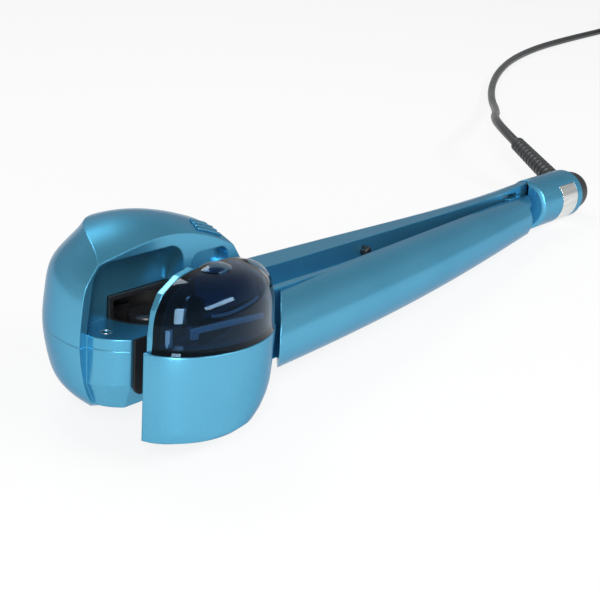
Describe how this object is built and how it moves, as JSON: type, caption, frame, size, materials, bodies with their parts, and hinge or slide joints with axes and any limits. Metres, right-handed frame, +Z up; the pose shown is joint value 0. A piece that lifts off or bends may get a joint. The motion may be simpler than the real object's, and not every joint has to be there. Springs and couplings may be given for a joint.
{
  "type": "automatic steam hair curler",
  "caption": "Hair curling machine with a drum head on a long handle, a hinged clamp arm with a smoke-tinted water tank, and a swivel cord.",
  "frame": {"origin": "on the table, in the middle of the flat under the drum head", "axes": "+X from the head to the cord, +Y from the clamp arm to the main arm, +Z up"},
  "size_m": [0.8105, 0.2429, 0.0568],
  "materials": {
    "shell_blue": "metallic satin paint over moulded plastic",
    "black_plastic": "fine matt moulding",
    "chamber_black": "heat resistant, matt",
    "bright_metal": "satin",
    "bright_trim": "polished",
    "core_ceramic": "ceramic coat",
    "core_metal": "turned",
    "brass": "turned",
    "tank_smoke": "smoke tinted, clear",
    "seal_rubber": "soft",
    "board_green": "laminate",
    "lens_clear": "clear",
    "cord_black": "satin sheath"
  },
  "bodies": {
    "main_arm": {"upper_housing": "shell_blue", "lower_housing": "shell_blue", "jaw_liner": "chamber_black", "curl_chamber": "chamber_black", "curl_core": "core_ceramic", "core_heater": "core_metal", "drive_motor": "bright_metal", "control_board": "board_green", "start_switch": "black_plastic", "indicator_lens": "lens_clear", "hinge_pin": "bright_metal", "return_spring": "bright_metal", "collar_band": "bright_trim", "housing_screw_1": "bright_metal", "housing_screw_2": "bright_metal"},
    "clamp_arm": {"clamp_head": "shell_blue", "clamp_spine": "shell_blue", "clamp_handle": "shell_blue", "closing_pad": "chamber_black", "steam_nozzle": "brass", "clamp_screw_1": "bright_metal", "clamp_screw_2": "bright_metal", "clamp_screw_3": "bright_metal"},
    "water_tank": {"tank_body": "tank_smoke", "tank_stopper": "seal_rubber", "tank_valve": "seal_rubber"},
    "rotor": {"winding_rotor": "chamber_black"},
    "pinion": {"motor_pinion": "brass"},
    "plunger": {"start_plunger": "black_plastic"},
    "heat_switch": {"heat_slider": "black_plastic"},
    "timer_switch": {"timer_slider": "black_plastic"},
    "direction_switch": {"direction_slider": "black_plastic"},
    "cord_swivel": {"swivel_cap": "black_plastic", "strain_relief": "cord_black", "power_cord": "cord_black", "cord_coil": "cord_black", "plug_lead": "cord_black", "plug_body": "black_plastic", "plug_blade_left": "brass", "plug_blade_right": "brass"}
  },
  "joints": [
    {"name": "clamp_close", "type": "hinge", "parent": "main_arm", "child": "clamp_arm", "pos_m": [0.19224, -0.0076, 0.01323], "axis": [0.064, 0, 0.998], "range_deg": [-5.5, 0], "stiffness_Nm_per_rad": 6, "springref_deg": 2.86},
    {"name": "rotor_spin", "type": "hinge", "parent": "main_arm", "child": "rotor", "pos_m": [-0.01533, -0.006, 0.02653], "axis": [0.064, 0, 0.998], "continuous": true},
    {"name": "pinion_spin", "type": "hinge", "parent": "main_arm", "child": "pinion", "pos_m": [-0.00193, -0.00002, 0.02568], "axis": [0.064, 0, 0.998], "continuous": true},
    {"name": "plunger_push", "type": "slide", "parent": "main_arm", "child": "plunger", "axis": [0, 1, 0], "range_m": [0, 0.0023]},
    {"name": "tank_pull", "type": "slide", "parent": "clamp_arm", "child": "water_tank", "axis": [0.0957, -0.9954, -0.0061], "range_m": [0, 0.03]},
    {"name": "heat_slide", "type": "slide", "parent": "main_arm", "child": "heat_switch", "axis": [0.998, 0, -0.064], "range_m": [-0.003, 0.003]},
    {"name": "timer_slide", "type": "slide", "parent": "main_arm", "child": "timer_switch", "axis": [0.998, 0, -0.064], "range_m": [-0.003, 0.003]},
    {"name": "direction_slide", "type": "slide", "parent": "main_arm", "child": "direction_switch", "axis": [0.998, 0, -0.064], "range_m": [-0.003, 0.003]},
    {"name": "cord_turn", "type": "hinge", "parent": "main_arm", "child": "cord_swivel", "pos_m": [0.23914, -0.011, 0.01023], "axis": [0.998, 0, -0.064], "continuous": true}
  ],
  "couplings": [
    {"joint": "pinion_spin", "follows": "rotor_spin", "ratio": -2.5},
    {"joint": "plunger_push", "follows": "clamp_close", "m_per_rad": -0.02396}
  ]
}
